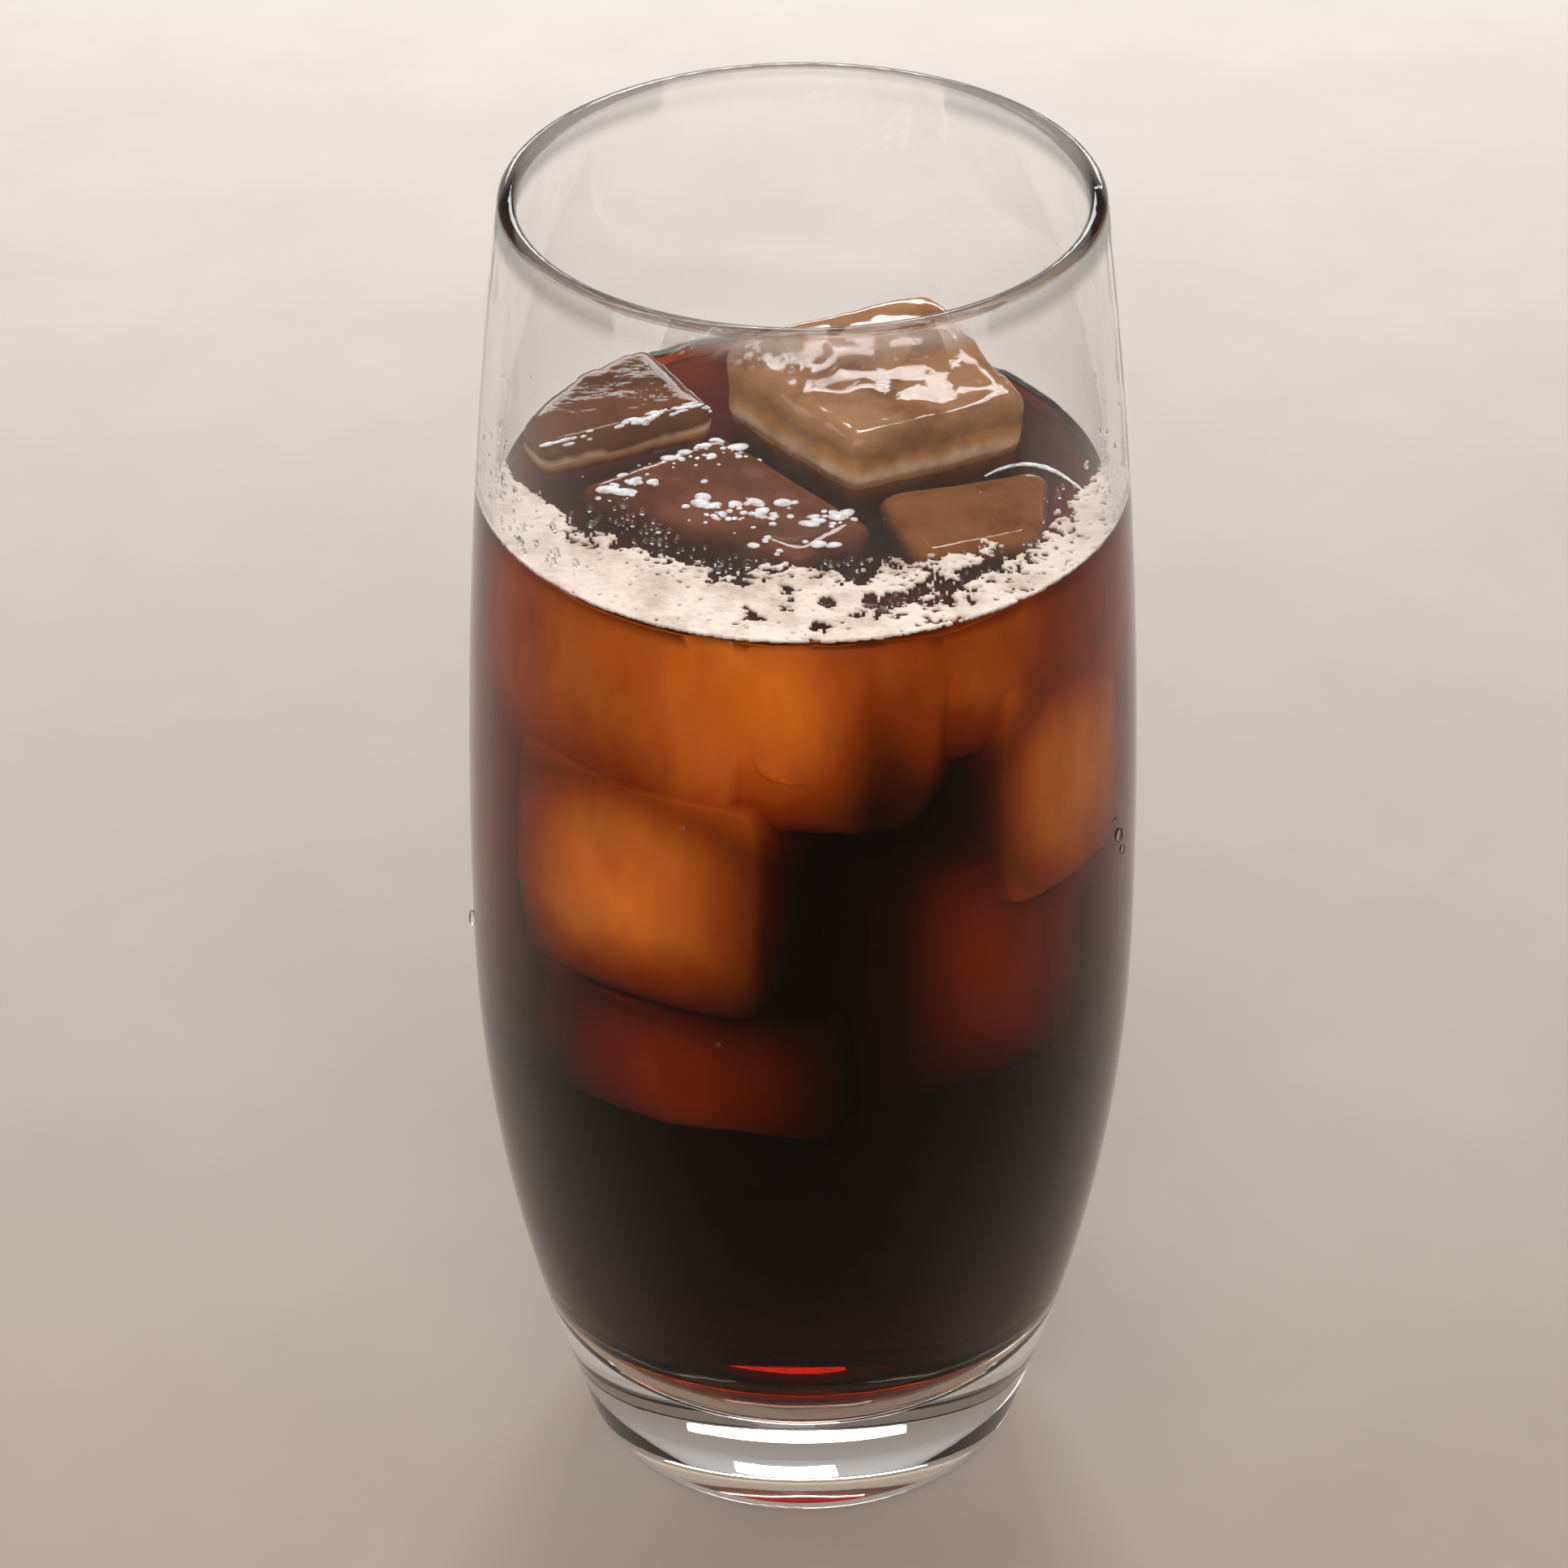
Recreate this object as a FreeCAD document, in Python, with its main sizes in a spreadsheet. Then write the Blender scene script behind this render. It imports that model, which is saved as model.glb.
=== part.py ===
"""Iced coffee in a barrel-shaped highball glass.

Millimetres, +Z up. The origin is the centre of the plane that the foot rests on, and the side that faces
the drinker is towards -Y. The glass, the coffee, the froth and each ice cube that breaks the surface are
separate solids. The cubes stay clear of the glass and of each other, and the coffee is cut round them.
"""
import FreeCAD, Part
import math
import os

import Sketcher

GLASS = {
    "glass_height": 150.0,
    "belly_radius": 35.3,
    "belly_height": 64.0,
    "rim_inset": 5.7,
    "foot_inset": 10.7,
    "knee_height": 13.0,
    "wall": 1.9,
    "rim_round": 0.9,
    "heel_round": 2.0,
    "base_thickness": 10.0,
    "bowl_radius": 45.0,
    "bowl_corner": 12.0,
    "lower_wall_radius": 150.0,
    "foot_ring": 5.6,
    "punt_depth": 1.2,
}
DRINK = {
    "headspace": 32.2,
    "froth_thickness": 1.1,
    "froth_width": 11.6,
    "froth_bow": 31.9,
    "ice_gap": 0.5,
    "ice_melt": 2.0,
    "ice_draft": 3.0,
}
# A cube seen from above has a front side, and the two corners behind it stand at their own depth, shifted
# sideways from the front ones. "proud" is how far its front edge stands above the coffee, and "from_front" is
# how far its first corner lies behind the glass's inside at the front, where the froth gathers.
CUBES = {
    "ice_back": {
        "front": 21.2, "left_depth": 22.1, "left_shift": -5.4, "right_depth": 21.9, "right_shift": -1.5,
        "tall": 24.0, "proud": 5.6, "at_x": 4.9, "from_front": 29.3, "turn": 25.7, "tip": 0.0,
    },
    "ice_left": {
        "front": 20.0, "left_depth": 20.0, "left_shift": -1.0, "right_depth": 19.0, "right_shift": 0.0,
        "tall": 19.0, "proud": 2.4, "at_x": -26.6, "from_front": 33.5, "turn": 26.0, "tip": -3.0,
    },
    "ice_front": {
        "front": 28.0, "left_depth": 18.0, "left_shift": 7.5, "right_depth": 10.0, "right_shift": 3.0,
        "tall": 20.0, "proud": 0.5, "at_x": -24.0, "from_front": 29.2, "turn": -31.8, "tip": 1.0,
    },
    "ice_right": {
        "front": 13.5, "left_depth": 14.4, "left_shift": 0.9, "right_depth": 13.2, "right_shift": 6.5,
        "tall": 19.0, "proud": 0.4, "at_x": 11.2, "from_front": 14.3, "turn": 20.6, "tip": 1.5,
    },
}
# Sizes that follow from those, each as the sheet's expression and as the number for a sketch's first drawing.
# The arc from the belly to the rim is upright at the belly.
UPPER_ARC = "((Sizes.glass_height - Sizes.belly_height)^2 + Sizes.rim_inset^2) / (2 * Sizes.rim_inset)"
LEVEL = "(Sizes.glass_height - Sizes.headspace)"
FROTH_TOP = LEVEL + " + Sizes.froth_thickness"
SURFACE_RADIUS = "(Sizes.belly_radius - Sizes.wall - %s + sqrt((%s)^2 - (%s - Sizes.belly_height)^2))" % (
    UPPER_ARC, UPPER_ARC, LEVEL
)
RIM = "Sizes.belly_radius - Sizes.rim_inset"
FOOT = "Sizes.belly_radius - Sizes.foot_inset"
PUNT = FOOT + " - Sizes.foot_ring"

rise = GLASS["glass_height"] - GLASS["belly_height"]
upper_arc = (rise**2 + GLASS["rim_inset"] ** 2) / (2 * GLASS["rim_inset"])
level = GLASS["glass_height"] - DRINK["headspace"]
rim = GLASS["belly_radius"] - GLASS["rim_inset"]
foot = GLASS["belly_radius"] - GLASS["foot_inset"]
punt = foot - GLASS["foot_ring"]
NEAR = 0.01


def add_sizes(doc):
    """The spreadsheet of driving dimensions: one plain number in each aliased cell."""
    cells = {**GLASS, **DRINK}
    for cube, numbers in CUBES.items():
        cells.update({cube + "_" + name: value for name, value in numbers.items()})
    sheet = doc.addObject("Spreadsheet::Sheet", "Sizes")
    for row, (name, value) in enumerate(cells.items(), start=1):
        sheet.set("A%d" % row, name)
        sheet.set("B%d" % row, str(value))
        sheet.setAlias("B%d" % row, name)
    doc.recompute()


def add_body(doc, label):
    body = doc.addObject("PartDesign::Body", label)
    body.Label = label
    return body


class Outline:
    """A sketch on one of a body's origin planes: a closed chain of straight and round sides."""

    def __init__(self, body, name, plane="XZ_Plane"):
        self.sketch = body.newObject("Sketcher::SketchObject", name)
        origin = next(f for f in body.Origin.OriginFeatures if f.Role == plane)
        self.sketch.AttachmentSupport = [(origin, "")]
        self.sketch.MapMode = "FlatFace"
        self.sides = []

    def line(self, start, end):
        """A straight side."""
        segment = Part.LineSegment(FreeCAD.Vector(*start, 0), FreeCAD.Vector(*end, 0))
        self.sides.append(self.sketch.addGeometry(segment))
        return self.sides[-1]

    def arc(self, centre, start, end):
        """A round side, anticlockwise from start to end."""
        circle = Part.Circle(FreeCAD.Vector(*centre, 0), FreeCAD.Vector(0, 0, 1), math.dist(centre, start))
        angles = [math.atan2(p[1] - centre[1], p[0] - centre[0]) for p in (start, end)]
        self.sides.append(self.sketch.addGeometry(Part.ArcOfCircle(circle, *angles)))
        return self.sides[-1]

    def join(self, smooth=()):
        """Joins each side's end to the next one's start, and the last to the first."""
        for here, there in zip(self.sides, self.sides[1:] + self.sides[:1]):
            kind = "Tangent" if (here, there) in smooth else "Coincident"
            self.fix(kind, here, 2, there, 1)

    def fix(self, kind, *numbers):
        """A constraint that holds no size."""
        return self.sketch.addConstraint(Sketcher.Constraint(kind, *numbers))

    def size(self, kind, name, expression, value, *numbers):
        """A constraint that holds a size from the sheet."""
        index = self.fix(kind, *numbers, value)
        self.sketch.renameConstraint(index, name)
        self.sketch.setExpression("Constraints." + name, expression)

    def across(self, name, expression, value, side, point):
        """Sets how far a point is from the upright axis."""
        self.size("DistanceX", name, expression, value, -1, 1, side, point)

    def up(self, name, expression, value, side, point):
        """Sets how far a point is above the level axis."""
        self.size("DistanceY", name, expression, value, -1, 1, side, point)

    def on_axis(self, side):
        """Lays a straight side on the upright axis."""
        self.fix("PointOnObject", side, 1, -2)
        self.fix("PointOnObject", side, 2, -2)


def turned(body, name, kind, outline):
    """The solid or the groove that an outline makes when it turns about the upright axis."""
    feature = body.newObject(kind, name)
    feature.Profile = outline.sketch
    feature.ReferenceAxis = (outline.sketch, ["V_Axis"])
    feature.Angle = 360
    body.Document.recompute()
    return feature


def rings(feature, wanted):
    """The names of a feature's round edges about the axis for which wanted(radius, height) holds."""
    found = []
    for number, edge in enumerate(feature.Shape.Edges, start=1):
        if edge.Degenerated or not isinstance(edge.Curve, Part.Circle):
            continue
        if wanted(edge.Curve.Radius, edge.Curve.Center.z):
            found.append("Edge%d" % number)
    return found


def rounded(body, name, base, edges, expression):
    """A fillet on the named edges of a feature."""
    fillet = body.newObject("PartDesign::Fillet", name)
    fillet.Base = (base, edges)
    fillet.setExpression("Radius", expression)
    body.Document.recompute()
    return fillet


def glass_outline(body):
    """The outer shape: foot, sloping knee, belly and the long arc up to the rim."""
    height, knee = GLASS["glass_height"], GLASS["knee_height"]
    belly = (GLASS["belly_radius"], GLASS["belly_height"])
    half_tangent = (belly[0] - foot) / (belly[1] + knee)
    slope = 2 * math.atan(half_tangent)
    lower = (belly[1] - knee) / math.sin(slope)
    knee_point = (foot + knee * math.tan(slope), knee)
    outline = Outline(body, "glass_outline")
    base = outline.line((0, 0), (foot, 0))
    shin = outline.line((foot, 0), knee_point)
    low_arc = outline.arc((belly[0] - lower, belly[1]), knee_point, belly)
    high_arc = outline.arc((belly[0] - upper_arc, belly[1]), belly, (rim, height))
    top = outline.line((rim, height), (0, height))
    axis = outline.line((0, height), (0, 0))
    outline.join(smooth=[(shin, low_arc)])
    outline.fix("Horizontal", base)
    outline.fix("Horizontal", top)
    outline.on_axis(axis)
    outline.fix("PointOnObject", axis, 2, -1)
    outline.across("foot", FOOT, foot, base, 2)
    outline.up("knee", "Sizes.knee_height", knee, shin, 2)
    outline.across("belly", "Sizes.belly_radius", belly[0], low_arc, 2)
    outline.up("belly_up", "Sizes.belly_height", belly[1], low_arc, 2)
    outline.up("low_centre", "Sizes.belly_height", belly[1], low_arc, 3)
    outline.up("high_centre", "Sizes.belly_height", belly[1], high_arc, 3)
    outline.across("rim", RIM, rim, high_arc, 2)
    outline.up("rim_up", "Sizes.glass_height", height, high_arc, 2)
    return outline


def inside_outline(body, top, top_value, clear="0", clear_value=0.0):
    """The glass's inside up to a height, taken in all round by a clearance."""
    floor = GLASS["base_thickness"] + clear_value
    bowl, lower = GLASS["bowl_radius"], GLASS["lower_wall_radius"]
    belly = (GLASS["belly_radius"] - GLASS["wall"] - clear_value, GLASS["belly_height"])
    corner_across = 0.8 * belly[0]
    corner = (corner_across, floor + bowl - math.sqrt(bowl**2 - corner_across**2))
    top_across = belly[0] - upper_arc + math.sqrt(upper_arc ** 2 - (top_value - belly[1]) ** 2)
    outline = Outline(body, "inside_outline")
    bowl_arc = outline.arc((0, floor + bowl), (0, floor), corner)
    low_arc = outline.arc((belly[0] - lower, belly[1]), corner, belly)
    high_arc = outline.arc((belly[0] - upper_arc, belly[1]), belly, (top_across, top_value))
    lid = outline.line((top_across, top_value), (0, top_value))
    axis = outline.line((0, top_value), (0, floor))
    outline.join()
    outline.fix("Horizontal", lid)
    outline.on_axis(axis)
    outline.fix("PointOnObject", bowl_arc, 3, -2)
    outline.up("floor", "Sizes.base_thickness + " + clear, floor, bowl_arc, 1)
    outline.size("Radius", "bowl", "Sizes.bowl_radius", bowl, bowl_arc)
    outline.across("belly", "Sizes.belly_radius - Sizes.wall - " + clear, belly[0], low_arc, 2)
    outline.up("belly_up", "Sizes.belly_height", belly[1], low_arc, 2)
    outline.up("low_centre", "Sizes.belly_height", belly[1], low_arc, 3)
    outline.size("Radius", "low_arc", "Sizes.lower_wall_radius", lower, low_arc)
    outline.up("high_centre", "Sizes.belly_height", belly[1], high_arc, 3)
    outline.size("Radius", "high_arc", UPPER_ARC, upper_arc, high_arc)
    outline.up("top", top, top_value, high_arc, 2)
    return outline


def bowl_edge(feature):
    """The ring where the round bottom of the inside meets its wall, and no ring of the outside."""
    low, high = GLASS["base_thickness"] + NEAR, GLASS["belly_height"] - NEAR
    knee = GLASS["knee_height"]
    return rings(feature, lambda radius, up: low < up < high and abs(up - knee) > NEAR)


def build_glass(doc):
    body = add_body(doc, "glass")
    blank = turned(body, "glass_blank", "PartDesign::Revolution", glass_outline(body))
    top = GLASS["glass_height"]
    inside = inside_outline(body, "Sizes.glass_height", top)
    hollow = turned(body, "glass_hollow", "PartDesign::Groove", inside)
    if not hollow.Shape.Volume < blank.Shape.Volume * 0.6:
        raise RuntimeError("the hollow of the glass cut nothing")
    bowl = rounded(body, "bowl_corner", hollow, bowl_edge(hollow), "Sizes.bowl_corner")
    lip_rings = rings(bowl, lambda radius, up: abs(up - top) < NEAR)
    lip = rounded(body, "lip", bowl, lip_rings, "min(Sizes.rim_round; 0.48 * Sizes.wall)")
    foot_ring = rings(lip, lambda radius, up: abs(up) < NEAR)
    heel = rounded(body, "heel", lip, foot_ring, "Sizes.heel_round")
    sole = turned(body, "punt", "PartDesign::Groove", punt_outline(body))
    if not sole.Shape.Volume < heel.Shape.Volume:
        raise RuntimeError("the punt under the glass cut nothing")
    return body


def punt_outline(body):
    """The shallow dome under the foot, which leaves a ring to stand on."""
    depth = GLASS["punt_depth"]
    centre = (0, (depth**2 - punt**2) / (2 * depth))
    outline = Outline(body, "punt_outline")
    sole = outline.line((0, 0), (punt, 0))
    dome = outline.arc(centre, (punt, 0), (0, depth))
    axis = outline.line((0, depth), (0, 0))
    outline.join()
    outline.fix("Horizontal", sole)
    outline.on_axis(axis)
    outline.fix("PointOnObject", axis, 2, -1)
    outline.fix("PointOnObject", dome, 3, -2)
    outline.across("punt", PUNT, punt, sole, 2)
    outline.up("dome", "Sizes.punt_depth", depth, axis, 1)
    return outline


def inside_solid(doc, label, top, top_value, clear="0", clear_value=0.0):
    """A solid that fills the glass up to a height, less a clearance."""
    body = add_body(doc, label)
    outline = inside_outline(body, top, top_value, clear, clear_value)
    fill = turned(body, label + "_turned", "PartDesign::Revolution", outline)
    rounded(body, label + "_corner", fill, bowl_edge(fill), "Sizes.bowl_corner")
    return body


def cube_block(doc, label, numbers):
    """One ice cube before it meets the glass: a drafted block with melted edges, set in its place."""
    sheet_name = "Sizes." + label + "_"
    front = numbers["front"]
    left = (numbers["left_shift"], numbers["left_depth"])
    right = (front + numbers["right_shift"], numbers["right_depth"])
    body = add_body(doc, label + "_block")
    outline = Outline(body, label + "_top", "XY_Plane")
    near = outline.line((0, 0), (front, 0))
    outline.line((front, 0), right)
    far = outline.line(right, left)
    outline.line(left, (0, 0))
    outline.join()
    outline.fix("Coincident", near, 1, -1, 1)
    outline.fix("Horizontal", near)
    outline.across("front", sheet_name + "front", front, near, 2)
    outline.across("right", sheet_name + "front + " + sheet_name + "right_shift", right[0], far, 1)
    outline.up("right_up", sheet_name + "right_depth", right[1], far, 1)
    if left[0] < 0:
        outline.size("DistanceX", "left", "-" + sheet_name + "left_shift", -left[0], far, 2, -1, 1)
    else:
        outline.across("left", sheet_name + "left_shift", left[0], far, 2)
    outline.up("left_up", sheet_name + "left_depth", left[1], far, 2)
    pad = body.newObject("PartDesign::Pad", label + "_pad")
    pad.Profile = outline.sketch
    pad.Reversed = True
    pad.setExpression("Length", sheet_name + "tall")
    pad.setExpression("TaperAngle", "-Sizes.ice_draft")
    doc.recompute()
    edges = ["Edge%d" % (number + 1) for number in range(len(pad.Shape.Edges))]
    rounded(body, label + "_melt", pad, edges, "Sizes.ice_melt")
    corner = "vector(%s; %s - " + SURFACE_RADIUS + "; " + LEVEL + " + %s)"
    place = "placement(" + corner + "; rotation(%s; 0; %s))"
    body.setExpression("Placement", place % tuple(
        sheet_name + name for name in ("at_x", "from_front", "proud", "turn", "tip")
    ))
    if pad.Shape.BoundBox.ZMax > NEAR:
        raise RuntimeError(label + " stands on its sketch and not under it")
    return body


def build_ice(doc):
    """The cubes that break the surface, each kept clear of the glass."""
    room = inside_solid(
        doc, "ice_room", "Sizes.glass_height", GLASS["glass_height"], "Sizes.ice_gap", DRINK["ice_gap"]
    )
    cubes = []
    for label, numbers in CUBES.items():
        cube = doc.addObject("Part::Common", label)
        cube.Label = label
        cube.Base = cube_block(doc, label, numbers)
        cube.Tool = room
        cubes.append(cube)
    return cubes


def build_coffee(doc, ice):
    """The drink up to its level, cut round the ice."""
    fill = inside_solid(doc, "coffee_fill", LEVEL, level)
    coffee = doc.addObject("Part::Cut", "coffee")
    coffee.Label = "coffee"
    coffee.Base = fill
    coffee.Tool = ice
    return coffee


def build_froth(doc, ice):
    """A crescent of froth on the coffee, widest at the front, that runs out along the wall to the sides."""
    fill = inside_solid(doc, "froth_fill", FROTH_TOP, level + DRINK["froth_thickness"])
    below = doc.addObject("Part::Cylinder", "froth_below")
    below.setExpression("Radius", "2 * Sizes.belly_radius")
    below.setExpression("Height", LEVEL)
    bow = doc.addObject("Part::Cylinder", "froth_bow")
    bow.setExpression("Radius", "Sizes.froth_bow")
    bow.setExpression("Height", "Sizes.glass_height")
    bow.setExpression("Placement.Base.y", "Sizes.froth_bow + Sizes.froth_width - " + SURFACE_RADIUS)
    away = doc.addObject("Part::MultiFuse", "froth_away")
    away.Shapes = [below, bow]
    crescent = doc.addObject("Part::Cut", "froth_crescent")
    crescent.Base = fill
    crescent.Tool = away
    froth = doc.addObject("Part::Cut", "froth")
    froth.Label = "froth"
    froth.Base = crescent
    froth.Tool = ice
    return froth


def check(doc, nodes):
    """Stops on a failed feature or on a node that isn't one valid solid."""
    for item in doc.Objects:
        if any(state in ("Invalid", "Error") for state in item.State):
            raise RuntimeError(item.Label + " failed")
    for node in nodes:
        shape = node.Shape
        if shape.isNull() or not shape.isValid() or len(shape.Solids) != 1:
            raise RuntimeError(node.Label + " is not one valid solid")


def main():
    doc = FreeCAD.newDocument("iced_coffee")
    add_sizes(doc)
    glass = build_glass(doc)
    cubes = build_ice(doc)
    ice = doc.addObject("Part::MultiFuse", "all_ice")
    ice.Shapes = cubes
    coffee = build_coffee(doc, ice)
    froth = build_froth(doc, ice)
    doc.recompute()
    nodes = [glass, coffee, froth, *cubes]
    check(doc, nodes)
    os.makedirs("parts", exist_ok=True)
    for node in nodes:
        solid = node.Shape.Solids[0]
        solid.exportStep(os.path.join("parts", node.Label + ".step"))
        print("%-10s %8.2f cm3" % (node.Label, solid.Volume / 1000))


main()
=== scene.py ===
"""Iced coffee in a barrel tumbler: the finish of the glass, the drink, its ice, froth, bubbles and drops."""

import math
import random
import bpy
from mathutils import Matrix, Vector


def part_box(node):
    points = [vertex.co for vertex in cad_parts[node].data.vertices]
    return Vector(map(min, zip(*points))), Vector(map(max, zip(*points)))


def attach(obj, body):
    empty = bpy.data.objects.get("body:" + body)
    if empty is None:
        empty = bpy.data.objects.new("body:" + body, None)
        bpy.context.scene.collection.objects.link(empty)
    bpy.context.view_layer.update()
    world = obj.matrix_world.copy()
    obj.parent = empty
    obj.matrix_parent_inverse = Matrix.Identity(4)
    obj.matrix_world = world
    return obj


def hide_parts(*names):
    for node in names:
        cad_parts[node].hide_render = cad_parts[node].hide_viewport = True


bl_info = {
    "name": "Iced coffee",
    "version": (1, 0, 0),
    "blender": (4, 5, 0),
    "location": "View3D > Sidebar > Iced coffee",
    "description": "Finishes a packed tumbler of iced coffee and sets the stage round it",
    "category": "Object",
}

from collections import namedtuple

import bpy
from bpy.props import FloatProperty, FloatVectorProperty, IntProperty, PointerProperty
from mathutils import Matrix, Vector, noise

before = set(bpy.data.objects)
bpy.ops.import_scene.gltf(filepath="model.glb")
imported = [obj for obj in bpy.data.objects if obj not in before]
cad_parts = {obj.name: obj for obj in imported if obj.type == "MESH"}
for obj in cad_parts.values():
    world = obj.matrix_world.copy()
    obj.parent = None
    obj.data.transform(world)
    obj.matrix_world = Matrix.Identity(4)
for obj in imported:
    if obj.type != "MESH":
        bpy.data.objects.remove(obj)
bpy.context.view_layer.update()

MM = 0.001
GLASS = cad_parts["glass"]
TURN = 2 * math.pi
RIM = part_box("glass")[1].z
# The coffee's level, where the flat underside of the froth begins.
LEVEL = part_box("froth")[0].z
SURFACE_ICE = ("ice_back", "ice_left", "ice_front", "ice_right")
# How deep the waves of each are, as a share of the melt.
ICE_WAVES = {"ice_back": 1.0, "ice_left": 0.12, "ice_front": 0.4, "ice_right": 0.6}
# How strongly each mirrors.
ICE_GLOSS = {"ice_back": 0.75, "ice_left": 0.12, "ice_front": 0.35, "ice_right": 0.3}
# The colour of the top of each, where the stained ice and the coffee below show through.
ICE_SKINS = {
    "ice_back": (0.34, 0.175, 0.08),
    "ice_left": (0.12, 0.045, 0.016),
    "ice_front": (0.22, 0.075, 0.035),
    "ice_right": (0.30, 0.105, 0.028),
}


def colour_value(name, default, words):
    return FloatVectorProperty(
        name=name, description=words, subtype="COLOR", size=3, min=0, max=1, default=default
    )


def length_value(name, default, words):
    return FloatProperty(
        name=name, description=words, subtype="DISTANCE", unit="LENGTH", precision=5, default=default
    )


class IcedCoffeeSizes(bpy.types.PropertyGroup):
    """Sizes that a user would change."""

    wall_reach: length_value("Wall reach", 0.30 * MM, "How far the drink reaches into the glass's wall")
    climb: length_value("Climb", 0.25 * MM, "How high the coffee climbs the wall at its edge")
    melt: length_value("Melt", 0.7 * MM, "How deep melting has waved the faces of the ice")
    froth_cell: length_value("Froth cell", 0.24 * MM, "How fine the froth's lace is")
    froth_height: length_value("Froth height", 0.4 * MM, "How thick the froth is")
    camera_height: length_value("Camera height", 0.3494, "How high the camera stands above the table")
    camera_distance: length_value("Camera distance", 0.4035, "How far in front of the axis the camera is")
    lens: FloatProperty(name="Lens", description="Focal length on a 36 mm sensor", default=105.63)
    seed: IntProperty(name="Seed", description="Which scatter of bubbles and drops is drawn", default=7)


class IcedCoffeeColours(bpy.types.PropertyGroup):
    """Colours that a user would change."""

    coffee_tint: colour_value("Coffee tint", (0.767, 0.467, 0.0), "What a little coffee lets through")
    coffee_strength: FloatProperty(name="Coffee strength", description="Absorption a metre", default=400.0)
    froth: colour_value("Froth", (0.62, 0.52, 0.44), "Thick froth")
    froth_thin: colour_value("Thin froth", (0.27, 0.145, 0.085), "Froth where the coffee shows through")
    ice: colour_value("Ice", (0.72, 0.50, 0.33), "Cloudy ice above the coffee")
    ice_clear: colour_value("Clear ice", (0.62, 0.29, 0.095), "The upper side of the rear cube")
    ice_stained: colour_value("Stained ice", (0.30, 0.12, 0.04), "Ice at the coffee's level")
    # Sunk ice: the colour of its painted glow, which stands in for light coming through the ice from above
    # and behind.
    sunk_ice: colour_value("Sunk ice", (1.0, 0.38, 0.07), "Ice that is seen through the coffee")
    # The table's near colour is darker as painted shade in front of the glass.
    floor_near_painted_shade: colour_value("Floor near", (0.38, 0.295, 0.23), "The table in front of the glass")
    floor_far: colour_value("Floor far", (0.78, 0.74, 0.705), "The table far behind the glass")


def sizes():
    return bpy.context.scene.iced_coffee_sizes


def colours():
    return bpy.context.scene.iced_coffee_colours


# ---------------------------------------------------------------- modelling helpers


def alone(piece):
    """Makes this piece the only one that an operator acts on."""
    bpy.ops.object.select_all(action="DESELECT")
    piece.select_set(True)
    bpy.context.view_layer.objects.active = piece


def edit(piece, action):
    """Runs action in edit mode, with the piece selected all over."""
    alone(piece)
    bpy.ops.object.mode_set(mode="EDIT")
    bpy.ops.mesh.select_all(action="SELECT")
    action()
    bpy.ops.object.mode_set(mode="OBJECT")


def drop_faces(piece, unwanted):
    """Deletes the faces for whose centre unwanted holds."""
    alone(piece)
    bpy.ops.object.mode_set(mode="EDIT")
    bpy.ops.mesh.select_mode(type="FACE")
    bpy.ops.object.mode_set(mode="OBJECT")
    for item in (*piece.data.vertices, *piece.data.edges):
        item.select = False
    for face in piece.data.polygons:
        face.select = unwanted(face.center)
    bpy.ops.object.mode_set(mode="EDIT")
    bpy.ops.mesh.delete(type="FACE")
    bpy.ops.mesh.select_mode(type="VERT")
    bpy.ops.object.mode_set(mode="OBJECT")


def shape(piece, kind, **settings):
    """Adds a modifier to the piece and applies it."""
    alone(piece)
    modifier = piece.modifiers.new(kind.title(), kind)
    for name, value in settings.items():
        setattr(modifier, name, value)
    bpy.ops.object.modifier_apply(modifier=modifier.name)


def clouds(name, scale, depth=1):
    """A noise that a Displace modifier waves a surface by."""
    texture = bpy.data.textures.new(name, "CLOUDS")
    texture.noise_scale = scale
    texture.noise_depth = depth
    texture.noise_basis = "BLENDER_ORIGINAL"
    return texture


def settle(piece, name, material, body="root"):
    """Applies the piece's place, names it, gives it its material, shades it smooth and lets it ride."""
    alone(piece)
    bpy.ops.object.transform_apply(location=True, rotation=True, scale=True)
    piece.name = name
    piece.data.name = name
    piece.data.materials.clear()
    piece.data.materials.append(material)
    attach(piece, body)
    bpy.ops.object.shade_smooth()


def turned(outline, steps):
    """A piece turned about the glass's axis from an outline that runs from the axis, out and back to it."""
    bpy.ops.object.select_all(action="DESELECT")
    bpy.ops.mesh.primitive_plane_add(size=MM, location=(0, 0, 0))
    piece = bpy.context.object

    def spin():
        bpy.ops.mesh.merge(type="CENTER")
        bpy.ops.transform.translate(value=outline[0])
        for here, there in zip(outline, outline[1:]):
            bpy.ops.mesh.extrude_region_move(TRANSFORM_OT_translate={"value": there - here})
        bpy.ops.mesh.select_all(action="SELECT")
        bpy.ops.mesh.spin(steps=steps, angle=TURN, center=(0, 0, 0), axis=(0, 0, 1))
        bpy.ops.mesh.select_all(action="SELECT")
        bpy.ops.mesh.remove_doubles(threshold=MM / 200)
        bpy.ops.mesh.normals_make_consistent(inside=False)

    edit(piece, spin)
    return piece


def copied(node):
    """A copy of a CAD node's mesh, with its loose triangles merged."""
    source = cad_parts[node]
    piece = bpy.data.objects.new(node + "_copy", source.data.copy())
    bpy.context.scene.collection.objects.link(piece)
    edit(piece, lambda: bpy.ops.mesh.remove_doubles(threshold=MM / 500))
    return piece


def joined(parts):
    """One piece from several."""
    bpy.ops.object.select_all(action="DESELECT")
    for part in parts:
        part.select_set(True)
    bpy.context.view_layer.objects.active = parts[0]
    bpy.ops.object.join()
    return bpy.context.object


def twin(piece, place):
    """A copy of the piece with its own mesh, set in a place."""
    copy = piece.copy()
    copy.data = piece.data.copy()
    copy.matrix_world = place
    bpy.context.scene.collection.objects.link(copy)
    return copy


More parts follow.
